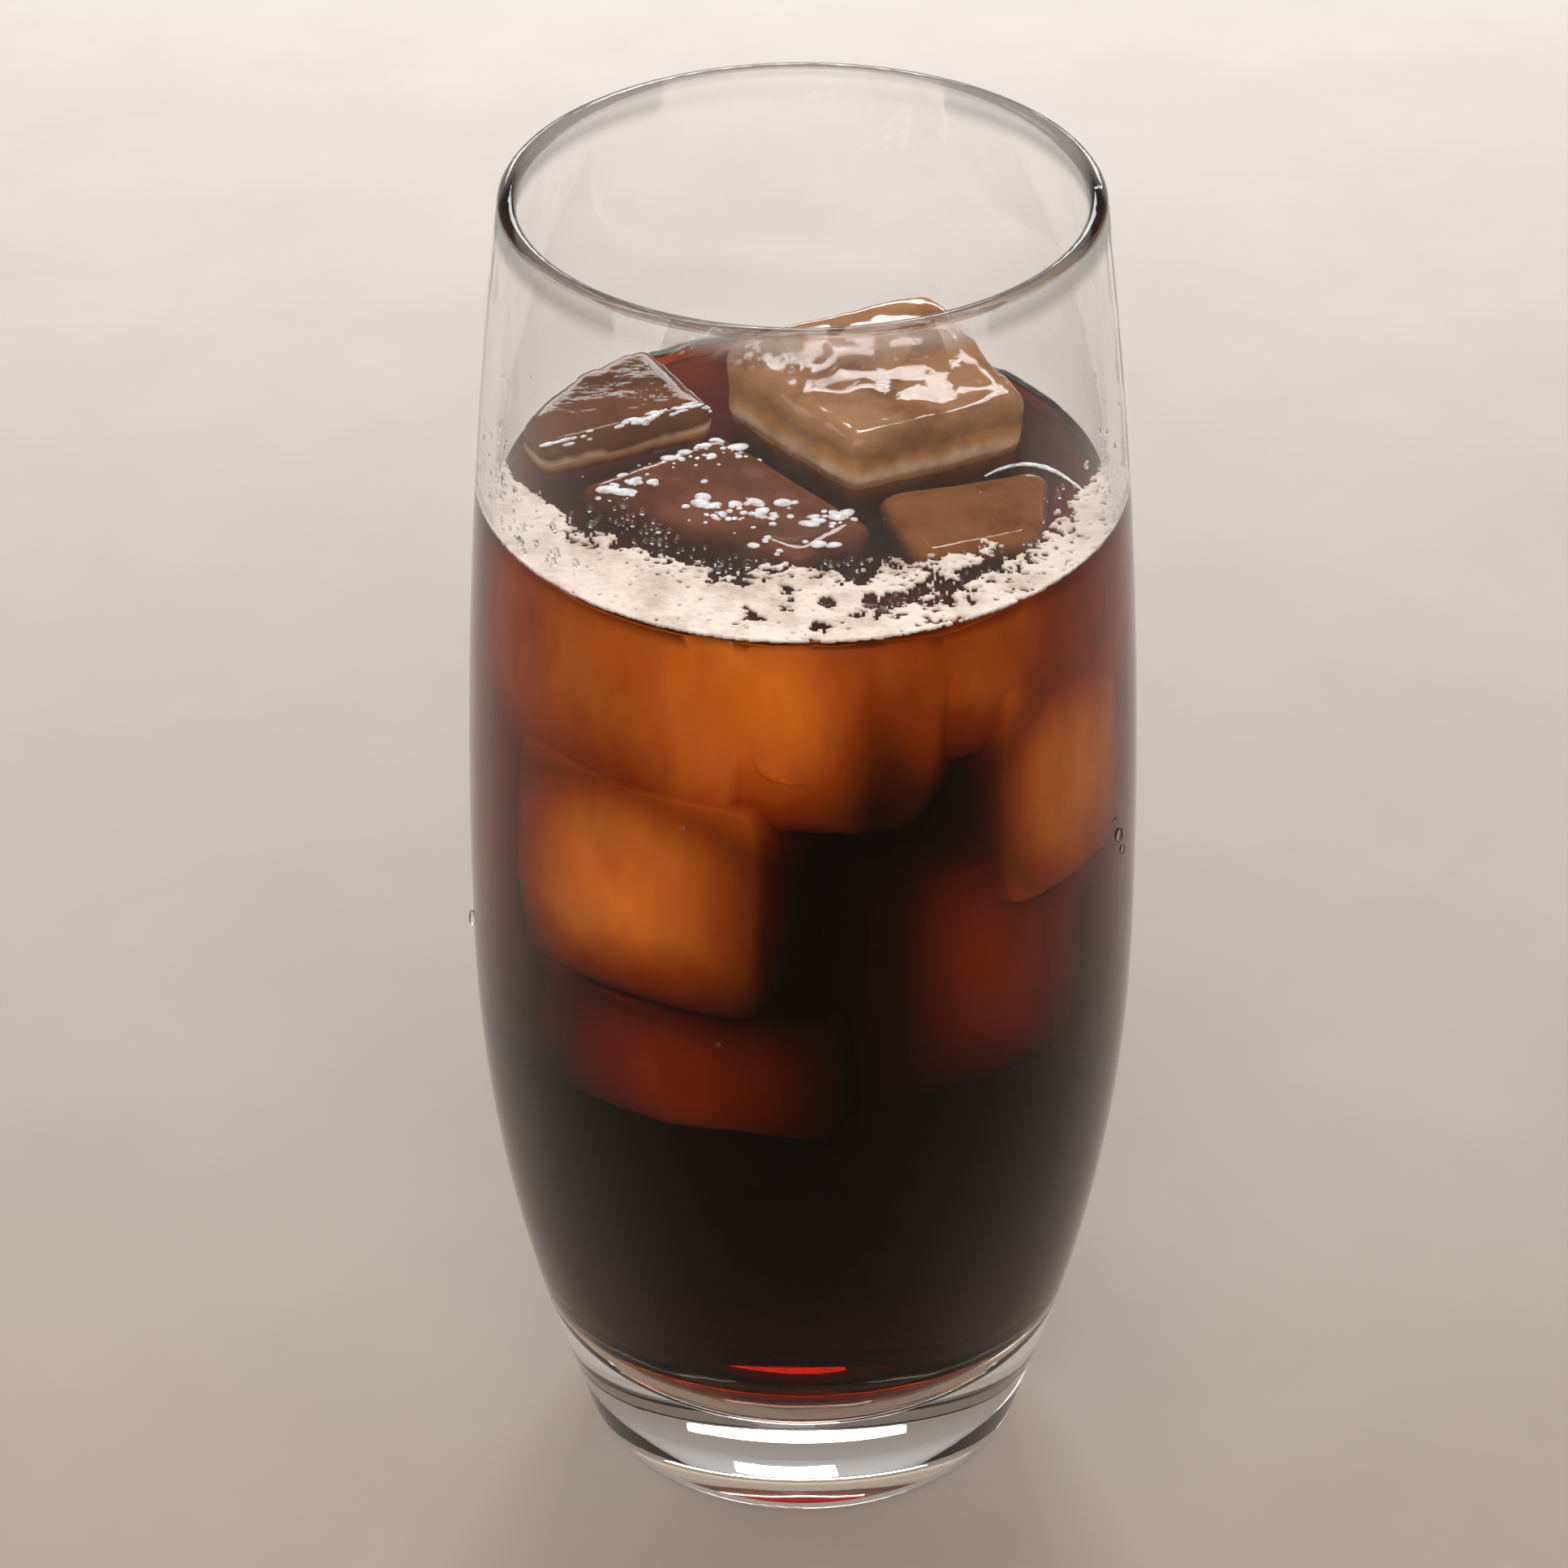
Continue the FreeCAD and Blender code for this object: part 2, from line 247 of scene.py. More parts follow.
def inside_point(start, direction, beyond):
    """The point of the glass's inside that is met from start, and so far beyond it."""
    hit, point, _, _ = GLASS.ray_cast(start, direction)
    if not hit:
        raise RuntimeError("the inside of the glass was not met")
    return point + direction * beyond


def inside_radius(up):
    """The radius of the glass's inside at a height."""
    return inside_point(Vector((0, 0, up)), Vector((1, 0, 0)), 0).x


def polar(angle, out, up):
    """A point at an angle from the front, turning towards +X."""
    return Vector((out * math.sin(angle), -out * math.cos(angle), up))


def clamped(value, low=0.0, high=1.0):
    return max(low, min(high, value))


def hump(offset, reach):
    """A smooth hump: 1 at no offset, and near 0 at twice the reach."""
    return math.exp(-((offset / reach) ** 2))


# ---------------------------------------------------------------- materials


def set_stops(ramp, stops):
    """Fills a colour ramp with (position, colour or grey) stops."""
    elements = ramp.color_ramp.elements
    while len(elements) < len(stops):
        elements.new(0.5)
    for element, (position, colour) in zip(elements, stops):
        element.position = position
        element.color = (*colour, 1) if hasattr(colour, "__len__") else (colour, colour, colour, 1)


class Finish:
    """A material under way: its nodes, its links and its main shader."""

    def __init__(self, name):
        self.material = bpy.data.materials.new(name)
        self.material.use_nodes = True
        self.tree = self.material.node_tree
        self.shader = self.tree.nodes["Principled BSDF"]
        self.output = self.tree.nodes["Material Output"]

    def set(self, **values):
        """Sets the main shader's own sockets."""
        for name, value in values.items():
            self.shader.inputs[name.replace("_", " ")].default_value = value

    def node(self, kind, **settings):
        node = self.tree.nodes.new("ShaderNode" + kind)
        for name, value in settings.items():
            setattr(node, name, value)
        return node

    def link(self, source, target):
        self.tree.links.new(source, target)

    def place(self):
        return self.node("TexCoord").outputs["Object"]

    def axis(self, name):
        """The piece's own X, Y or Z."""
        split = self.node("SeparateXYZ")
        self.link(self.place(), split.inputs["Vector"])
        return split.outputs[name]

    def spread(self, value, low, high):
        """Maps a number to 0 at low and to 1 at high."""
        reach = self.node("MapRange")
        reach.inputs["From Min"].default_value = low
        reach.inputs["From Max"].default_value = high
        self.link(value, reach.inputs["Value"])
        return reach.outputs["Result"]

    def shaded(self, colour, shade):
        """One colour multiplied by another."""
        mix = self.node("Mix", data_type="RGBA", blend_type="MULTIPLY")
        mix.inputs["Factor"].default_value = 1.0
        self.link(colour, mix.inputs["A"])
        self.link(shade, mix.inputs["B"])
        return mix.outputs["Result"]

    def paint(self, colour):
        self.link(colour, self.shader.inputs["Base Color"])

    def grain(self, scale, detail=2.0, roughness=0.5, kind="Noise"):
        """A noise over the piece's own coordinates, with features of about 1 / scale metres."""
        texture = self.node("Tex" + kind)
        texture.inputs["Scale"].default_value = scale
        if kind == "Noise":
            texture.inputs["Detail"].default_value = detail
            texture.inputs["Roughness"].default_value = roughness
        self.link(self.place(), texture.inputs["Vector"])
        return texture

    def ramp(self, source, stops):
        """Maps a number to colours, or to greys, through (position, colour) stops."""
        ramp = self.node("ValToRGB")
        set_stops(ramp, stops)
        self.link(source, ramp.inputs["Fac"])
        return ramp.outputs["Color"]

    def relief(self, source, depth, strength):
        bump = self.node("Bump")
        bump.inputs["Strength"].default_value = strength
        bump.inputs["Distance"].default_value = depth
        self.link(source, bump.inputs["Height"])
        self.link(bump.outputs["Normal"], self.shader.inputs["Normal"])


def lets_lamps_through(finish, thin=None):
    """Lets lamplight through the clear shader, to light what is inside. Thin says where it is fainter."""
    path = finish.node("LightPath")
    clear = finish.node("BsdfTransparent")
    mix = finish.node("MixShader")
    body = finish.shader.outputs["BSDF"]
    if thin:
        fainter = finish.node("MixShader")
        finish.link(thin, fainter.inputs["Fac"])
        finish.link(body, fainter.inputs[1])
        finish.link(clear.outputs["BSDF"], fainter.inputs[2])
        body = fainter.outputs["Shader"]
    finish.link(path.outputs["Is Shadow Ray"], mix.inputs["Fac"])
    finish.link(body, mix.inputs[1])
    finish.link(clear.outputs["BSDF"], mix.inputs[2])
    finish.link(mix.outputs["Shader"], finish.output.inputs["Surface"])


def clear_glass():
    """Clear glass: it mirrors less along the drink, and is fainter at the rim's bead, to keep that pale."""
    finish = Finish("clear_glass")
    finish.set(Base_Color=(1, 1, 1, 1), Roughness=0.0, IOR=1.5, Transmission_Weight=1.0)
    up = finish.spread(finish.axis("Z"), 0, RIM)
    wet = LEVEL / RIM
    # The foot and the bare wall mirror more than the wall along the drink.
    stops = [(0.05, 0.8), (0.09, 0.10), (wet, 0.10), (wet + 0.03, 1.0)]
    finish.link(finish.ramp(up, stops), finish.shader.inputs["Specular Tint"])
    lets_lamps_through(finish, finish.ramp(up, [(0.975, 0.0), (0.985, 0.4)]))
    return finish.material


def coffee_finish():
    finish = Finish("black_coffee")
    finish.set(Base_Color=(1, 1, 1, 1), Roughness=0.0, IOR=1.33, Transmission_Weight=1.0)
    finish.set(Specular_Tint=(0.1, 0.1, 0.1, 1))
    lets_lamps_through(finish)
    absorb = finish.node("VolumeAbsorption")
    absorb.inputs["Color"].default_value = (*colours().coffee_tint, 1)
    absorb.inputs["Density"].default_value = colours().coffee_strength
    finish.link(absorb.outputs["Volume"], finish.output.inputs["Volume"])
    return finish.material


def froth_finish():
    finish = Finish("froth")
    finish.set(Roughness=0.5, IOR=1.33)
    cells = finish.grain(1500, kind="Voronoi")
    patches = finish.grain(160, 4, 0.6)
    mix = finish.node("Math", operation="MULTIPLY")
    finish.link(finish.ramp(cells.outputs["Distance"], [(0.0, 0.85), (0.9, 1.0)]), mix.inputs[0])
    finish.link(finish.ramp(patches.outputs["Fac"], [(0.3, 0.5), (0.6, 1.0)]), mix.inputs[1])
    stops = [(0.3, tuple(colours().froth_thin)), (0.85, tuple(colours().froth))]
    finish.paint(finish.ramp(mix.outputs["Value"], stops))
    finish.relief(cells.outputs["Distance"], 0.12 * MM, 0.6)
    return finish.material


def water_finish(name):
    finish = Finish(name)
    finish.set(Base_Color=(1, 1, 1, 1), Roughness=0.0, IOR=1.33, Transmission_Weight=1.0)
    lets_lamps_through(finish)
    return finish.material


# ---------------------------------------------------------------- operators


class ICED_OT_glass(bpy.types.Operator):
    """Gives the tumbler its clear glass"""

    bl_idname = "iced_coffee.glass"
    bl_label = "Glass"

    def execute(self, context):
        material = clear_glass()
        for slot in GLASS.material_slots:
            slot.material = material
        return {"FINISHED"}


# The coffee's outline: the point that its bowl is traced from, and the steps along the bowl, up the wall and
# around. In millimetres, how far from the wall its edge is traced, and how soon its climb dies away.
BOWL_FOCUS = Vector((0, 0, 40 * MM))
BOWL_STEPS = 32
WALL_STEPS = 34
AROUND_STEPS = 160
EDGE_TRACE = (0.0, 0.25, 0.6, 1.1, 1.8, 2.8)
CLIMB_FADE = 0.6


class ICED_OT_coffee(bpy.types.Operator):
    """Fills the tumbler with coffee that climbs the wall a little at its edge"""

    bl_idname = "iced_coffee.coffee"
    bl_label = "Coffee"

    def execute(self, context):
        reach = sizes().wall_reach
        outline = []
        for step in range(BOWL_STEPS + 1):
            angle = (step / BOWL_STEPS) * math.pi / 2
            outline.append(inside_point(BOWL_FOCUS, Vector((math.sin(angle), 0, -math.cos(angle))), reach))
        outline[0].x = 0
        top = LEVEL + sizes().climb
        for step in range(1, WALL_STEPS + 1):
            up = BOWL_FOCUS.z + (top - BOWL_FOCUS.z) * step / WALL_STEPS
            outline.append(Vector((inside_radius(up) + reach, 0, up)))
        edge = inside_radius(LEVEL)
        for inwards in EDGE_TRACE:
            up = LEVEL + sizes().climb * math.exp(-inwards / CLIMB_FADE)
            outline.append(Vector((edge - inwards * MM, 0, up)))
        outline.extend(Vector((edge * share, 0, LEVEL)) for share in (0.8, 0.6, 0.4, 0.2, 0.0))
        piece = turned(outline, AROUND_STEPS)
        settle(piece, "coffee_body", coffee_finish())
        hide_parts("coffee")
        return {"FINISHED"}


# The grid that the surface cubes are remeshed on.
ICE_GRID = 0.55 * MM
# The rear cube's far side: where its rise begins, how far it runs and how high it gets.
CROWN_START = 5 * MM
CROWN_RUN = 17 * MM
CROWN_RISE = 2.6 * MM


class ICED_OT_surface_ice(bpy.types.Operator):
    """Melts the cubes that break the surface"""

    bl_idname = "iced_coffee.surface_ice"
    bl_label = "Ice at the surface"

    def execute(self, context):
        wave = clouds("melt_wave", 6 * MM)
        ripple = clouds("melt_ripple", 2.2 * MM)
        for node in SURFACE_ICE:
            high = node in ("ice_back", "ice_left")
            piece = copied(node)
            shape(piece, "REMESH", mode="VOXEL", voxel_size=ICE_GRID)
            melt = sizes().melt * ICE_WAVES[node]
            middle = 0.8 if high else 0.5
            shape(piece, "DISPLACE", texture=wave, texture_coords="LOCAL", mid_level=middle, strength=melt)
            fine = 0.35 * melt
            shape(piece, "DISPLACE", texture=ripple, texture_coords="LOCAL", mid_level=0.5, strength=fine)
            shape(piece, "SMOOTH", factor=0.5, iterations=3 if node == "ice_back" else 6)
            if node == "ice_back":
                self.crown(piece)
            settle(piece, "melting_" + node, self.finish(node, high))
            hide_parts(node)
        return {"FINISHED"}

    def crown(self, piece):
        """Raises the cube's far side a little."""
        for vertex in piece.data.vertices:
            share = clamped((vertex.co.y - CROWN_START) / CROWN_RUN)
            vertex.co.z += CROWN_RISE * share * share * (3 - 2 * share)

    def finish(self, node, high):
        """Wet, mottled ice: brown where it dips in the coffee, with its own colour along its top."""
        finish = Finish(node)
        finish.set(Roughness=0.04, IOR=1.31, Transmission_Weight=0.15 if high else 0.4)
        finish.set(Specular_IOR_Level=ICE_GLOSS[node])
        shifted = finish.node("Math", operation="MULTIPLY_ADD")
        shifted.inputs[1].default_value = 2.2 * MM
        finish.link(finish.grain(180, 3).outputs["Fac"], shifted.inputs[0])
        finish.link(finish.axis("Z"), shifted.inputs[2])
        up = finish.spread(shifted.outputs["Value"], LEVEL - 1.5 * MM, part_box(node)[1].z)
        stained = tuple(colours().ice_stained)
        pale = tuple(colours().ice)
        skin = ICE_SKINS[node]
        if node == "ice_back":
            clear = tuple(colours().ice_clear)
            stops = [(0.1, stained), (0.18, pale), (0.46, pale), (0.6, clear), (0.78, skin)]
        elif node == "ice_left":
            stops = [(0.15, stained), (0.4, pale), (0.62, pale), (0.8, skin)]
        else:
            stops = [(0.2, stained), (0.9, skin)]
        dim = [(0.36, (0.52, 0.42, 0.34)), (0.5, (0.86, 0.81, 0.76)), (0.62, (1.0, 1.0, 1.0))]
        mottle = finish.ramp(finish.grain(140, 4, 0.6).outputs["Fac"], dim)
        finish.paint(finish.shaded(finish.ramp(up, stops), mottle))
        finish.relief(finish.grain(420, 2).outputs["Fac"], 0.3 * MM, 0.16)
        return finish.material


# A sunk cube: its angle from the front, how far its outer face is from the wall, how high its middle is, its
# width, depth and height, its turn about the upright and its tip, in degrees and millimetres, and how bright
# its painted glow is.
SunkCube = namedtuple("SunkCube", "angle gap up width depth height turn tip bright")
SUNK_CUBES = {
    "under_left": SunkCube(-47, 1.10, 110.5, 36, 22, 31, 0, 2, 0.8),
    "under_middle": SunkCube(-14, 1.16, 111.0, 38, 22, 32, 0, 2, 1.0),
    "under_right": SunkCube(28, 1.22, 113.0, 38, 20, 24, 0, 3, 0.66),
    "far_right": SunkCube(70, 1.28, 109.0, 32, 20, 30, 0, 0, 0.6),
    "left": SunkCube(-34, 0.6, 86.5, 28, 20, 27, 4, 6, 1.0),
    "right": SunkCube(57, 0.6, 95.0, 22, 16, 27, 0, -8, 1.0),
    "low_left": SunkCube(-25, 2.8, 64.5, 30, 18, 15, 10, -6, 0.5),
    "low_right": SunkCube(36, 2.6, 75.0, 23, 18, 29, -8, 8, 0.5),
    "side_left": SunkCube(-96, 1.22, 90.0, 46, 20, 64, 0, 0, 0.45),
    "side_right": SunkCube(98, 1.36, 86.0, 44, 20, 64, 0, 0, 0.42),
    "rear_left": SunkCube(-146, 1.4, 104.0, 34, 20, 28, 0, 5, 0.9),
    "rear_right": SunkCube(152, 1.2, 98.0, 32, 20, 28, 5, -8, 0.9),
    "rear_low": SunkCube(178, 3.0, 70.0, 28, 18, 20, 12, 10, 0.6),
    "rear_lowest": SunkCube(-120, 2.6, 66.0, 26, 18, 20, 12, 10, 0.5),
}
# The painted shade in the gap between the cubes at the front: its angle, how wide it is at two heights, where
# it begins to show below the surface, and how far down it takes to be dark.
GAP_ANGLE = math.radians(13)
GAP_HIGH = (102 * MM, math.radians(6))
GAP_LOW = (66 * MM, math.radians(17))
GAP_TOP = 114 * MM
GAP_FADE = 16 * MM
# How soon the painted glow dies towards a cube's edges, the radius that turns an angle into a width in
# millimetres, and how far in from the wall the painted glow reaches.
EDGE_FADE = 2.25
GLOW_RADIUS = 33
GLOW_DEPTH = 13 * MM
# Below this height the bowl's round bottom would make the wall seem too near.
BOWL_TOP = 30 * MM


def wall_radius(up):
    """The radius of the glass's inside at a height, or at the top of the bowl's bottom if that is higher."""
    return inside_radius(max(up, BOWL_TOP))


class ICED_OT_sunk_ice(bpy.types.Operator):
    """Sinks cubes in the coffee, close behind the wall"""

    bl_idname = "iced_coffee.sunk_ice"
    bl_label = "Sunk ice"

    def execute(self, context):
        bpy.ops.object.select_all(action="DESELECT")
        bpy.ops.mesh.primitive_cube_add(size=1)
        model = bpy.context.object
        edit(model, lambda: bpy.ops.mesh.subdivide(number_cuts=17))
        shape(model, "SMOOTH", factor=0.5, iterations=16)
        shape(model, "CAST", factor=0.22)
        parts = [self.sunk(model, cube) for cube in SUNK_CUBES.values()]
        bpy.data.objects.remove(model)
        piece = joined(parts)
        alone(piece)
        bpy.ops.object.transform_apply(location=True, rotation=True, scale=True)
        wave = clouds("sunk_wave", 7 * MM)
        shape(piece, "DISPLACE", texture=wave, texture_coords="LOCAL", mid_level=0.8, strength=0.9 * MM)
        settle(piece, "sunk_ice", self.finish())
        return {"FINISHED"}

    def sunk(self, model, cube):
        """A copy of the model cube at its place, pressed in where it would come too near the wall."""
        angle, turn, tip = math.radians(cube.angle), math.radians(cube.turn), math.radians(cube.tip)
        gap, up = cube.gap * MM, cube.up * MM
        width, depth, height = (value * MM for value in (cube.width, cube.depth, cube.height))
        middle = polar(angle, inside_radius(up) - gap - depth / 2, up)
        lie = Matrix.Rotation(angle + turn, 4, "Z") @ Matrix.Rotation(tip, 4, "X")
        place = Matrix.Translation(middle) @ lie @ Matrix.Diagonal((width, depth, height, 1))
        part = twin(model, place)
        alone(part)
        bpy.ops.object.transform_apply(location=True, rotation=True, scale=True)
        # Each point keeps how bright its painted glow is, with painted shade at the cubes' edges and between
        # them.
        glow = part.data.attributes.new("glow", "FLOAT", "POINT")
        for vertex, value in zip(part.data.vertices, glow.data):
            out = Vector((vertex.co.x, vertex.co.y, 0))
            most = wall_radius(vertex.co.z) - gap
            if out.length > most:
                out *= most / out.length
                vertex.co.x, vertex.co.y = out.x, out.y
            inwards = max(0.0, inside_radius(LEVEL) - vertex.co.xy.length)
            # The tops stay under the surface, and slope down away from the wall.
            vertex.co.z = min(vertex.co.z, LEVEL - 0.4 * MM - min(4.5 * MM, 0.6 * inwards))
            value.value = self.glow(vertex.co)
        return part

    def glow(self, point):
        """How much painted glow the ice gives back at a point: less towards the cubes' edges, between them
        and in from the wall, as painted shade.
        """
        angle = math.atan2(point.x, -point.y)
        most = 0.0
        for cube in SUNK_CUBES.values():
            away = abs((angle - math.radians(cube.angle) + math.pi) % TURN - math.pi)
            aside = away * GLOW_RADIUS / cube.width * EDGE_FADE
            off = abs(point.z / MM - cube.up) / cube.height * EDGE_FADE
            most = max(most, cube.bright * math.exp(-((aside**2.5 + off**2.5) ** 1.25)))
        # The painted shade between the cubes at the front: how wide it is at this height.
        share = (GAP_HIGH[0] - point.z) / (GAP_HIGH[0] - GAP_LOW[0])
        width = GAP_HIGH[1] + (GAP_LOW[1] - GAP_HIGH[1]) * clamped(share, -0.6, 1.2)
        # Painted shade: the glow fades in from the wall, and is taken away in the gap between the cubes.
        most *= hump(wall_radius(point.z) - point.xy.length, GLOW_DEPTH)
        gap = clamped((GAP_TOP - point.z) / GAP_FADE) * hump(angle - GAP_ANGLE, max(width, 0.02))
        return most * (1 - gap)

    def finish(self):
        """Sunk ice painted with a glow: pale amber inside, and dark as painted shade at its edges and between
        the cubes.
        """
        finish = Finish("sunk_ice")
        finish.set(Roughness=0.35, IOR=1.31, Specular_IOR_Level=0.0)
        glow = finish.node("Attribute", attribute_name="glow")
        streaks = finish.grain(95, 3, 0.55)
        squeeze = finish.node("Mapping")
        squeeze.inputs["Scale"].default_value = (1, 1, 0.45)
        finish.link(finish.place(), squeeze.inputs["Vector"])
        finish.link(squeeze.outputs["Vector"], streaks.inputs["Vector"])
        patchy = finish.node("Math", operation="MULTIPLY")
        finish.link(glow.outputs["Fac"], patchy.inputs[0])
        finish.link(finish.ramp(streaks.outputs["Fac"], [(0.3, 0.62), (0.66, 1.0)]), patchy.inputs[1])
        # The painted glow's colour, with a dim and a near-black share of it as painted shade.
        sunk = tuple(colours().sunk_ice)
        dim = tuple(part * share for part, share in zip(sunk, (0.36, 0.2, 0.12)))
        dark = tuple(part * share for part, share in zip(sunk, (0.012, 0.005, 0.004)))
        stops = [(0.0, dark), (0.4, dim), (1.0, sunk)]
        finish.paint(finish.ramp(patchy.outputs["Value"], stops))
        return finish.material


# How far the froth reaches from the front wall, and the angle from the front at which it ends.
FROTH_WIDTH = 12.4 * MM
FROTH_END = math.radians(97)
# The noises that fray the froth, as features a metre, from its patches down to its finest lace.
PATCHES = 260
BROAD_HOLES = 430
LACE = 850
PINHOLES = 1500
FINE_LACE = 2300
# Froth lies where its thickness is above this.
FROTH_LEAST = 0.12


def frothy(point, edge):
    """Whether froth lies at a point: a band along the front wall with a wandering inner edge and holes."""
    from_wall = edge + sizes().wall_reach - point.xy.length
    angle = abs(math.atan2(point.x, -point.y))
    if from_wall < 0 or angle >= FROTH_END:
        return False
    width = FROTH_WIDTH * (1 - (angle / FROTH_END) ** 2.6)
    patches = noise.noise(point * PATCHES)
    lace = noise.noise(point * LACE + Vector((5, 1, 2)))
    fine = noise.noise(point * FINE_LACE + Vector((1, 7, 3)))
    # The froth is smoother on the left than on the right.
    ragged = 0.55 + 0.45 * clamped((point.x + 14 * MM) / (16 * MM))
    thickness = 1.0 - (from_wall / max(width, MM / 10)) ** 4 + 0.8 * patches
    thickness += ragged * (0.75 * lace + 0.7 * fine)
    thickness -= froth_gap(point, from_wall) + froth_holes(point, from_wall)
    return thickness > FROTH_LEAST


def froth_holes(point, from_wall):
    """Coffee showing through in broad holes at the very front, and in pinholes all along."""
    front = hump(point.x - 1 * MM, 6.5 * MM) * hump(from_wall - 6 * MM, 3.4 * MM)
    broad = max(0.0, noise.noise(point * BROAD_HOLES + Vector((3, 3, 9))) + 0.12)
    pins = max(0.0, noise.noise(point * PINHOLES + Vector((8, 2, 4))) - 0.34)
    return 4.2 * front * broad + 3.5 * pins


def froth_gap(point, from_wall):
    """A bare strip in the froth on the right, between a speckled band at the wall and a ragged one inside."""
    along = clamped((point.x - 5 * MM) / (4 * MM))
    speckle = 0.42 if from_wall < 5 * MM else 0.0
    return along * (1.3 * hump(from_wall - 6.6 * MM, 1.5 * MM) + speckle)


class ICED_OT_froth(bpy.types.Operator):
    """Lays the froth along the front wall, with a ragged, lacy inner edge"""

    bl_idname = "iced_coffee.froth"
    bl_label = "Froth"

    def execute(self, context):
        low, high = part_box("froth")
        reach = high.x - low.x
        cell = sizes().froth_cell
        edge = inside_radius(LEVEL)
        bpy.ops.object.select_all(action="DESELECT")
        bpy.ops.mesh.primitive_grid_add(
            x_subdivisions=int(reach / cell), y_subdivisions=int(reach / cell), size=reach + 2 * MM,
            location=(0, 0, LEVEL + 0.1 * MM)
        )
        piece = bpy.context.object
        bpy.ops.object.transform_apply(location=True, rotation=True, scale=True)
        drop_faces(piece, lambda centre: not frothy(centre, edge))
        shape(piece, "SOLIDIFY", thickness=sizes().froth_height, offset=1)
        shape(piece, "SMOOTH", factor=0.5, iterations=2)
        lumps = clouds("froth_lumps", 1.6 * MM, 2)
        shape(piece, "DISPLACE", texture=lumps, texture_coords="LOCAL", strength=0.22 * MM)
        settle(piece, "froth_lace", froth_finish())
        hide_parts("froth")
        return {"FINISHED"}


def bead_model(rings, segments):
    bpy.ops.object.select_all(action="DESELECT")
    bpy.ops.mesh.primitive_uv_sphere_add(segments=segments, ring_count=rings, radius=1)
    return bpy.context.object


# How many bubbles and beads of painted highlight each scatter draws.
BLOBS = 150
EDGE_HIGHLIGHT_BEADS = 46
REFLECTION_ARC_BEADS = 34
CLEAR_BUBBLES = 260
# The painted highlight along the left cube's edge, a line of pale beads, by its ends, and the painted
# reflection behind the right-hand ice, an arc of pale beads, by its ends and its control point between them,
# in millimetres.
EDGE_HIGHLIGHT_LINE = (Vector((-26.0, 3.4, 0)), Vector((-9.6, 12.2, 0)))
REFLECTION_ARC = (Vector((18.6, 0.8)), Vector((24.2, 6.6)), Vector((28.2, -2.6)))


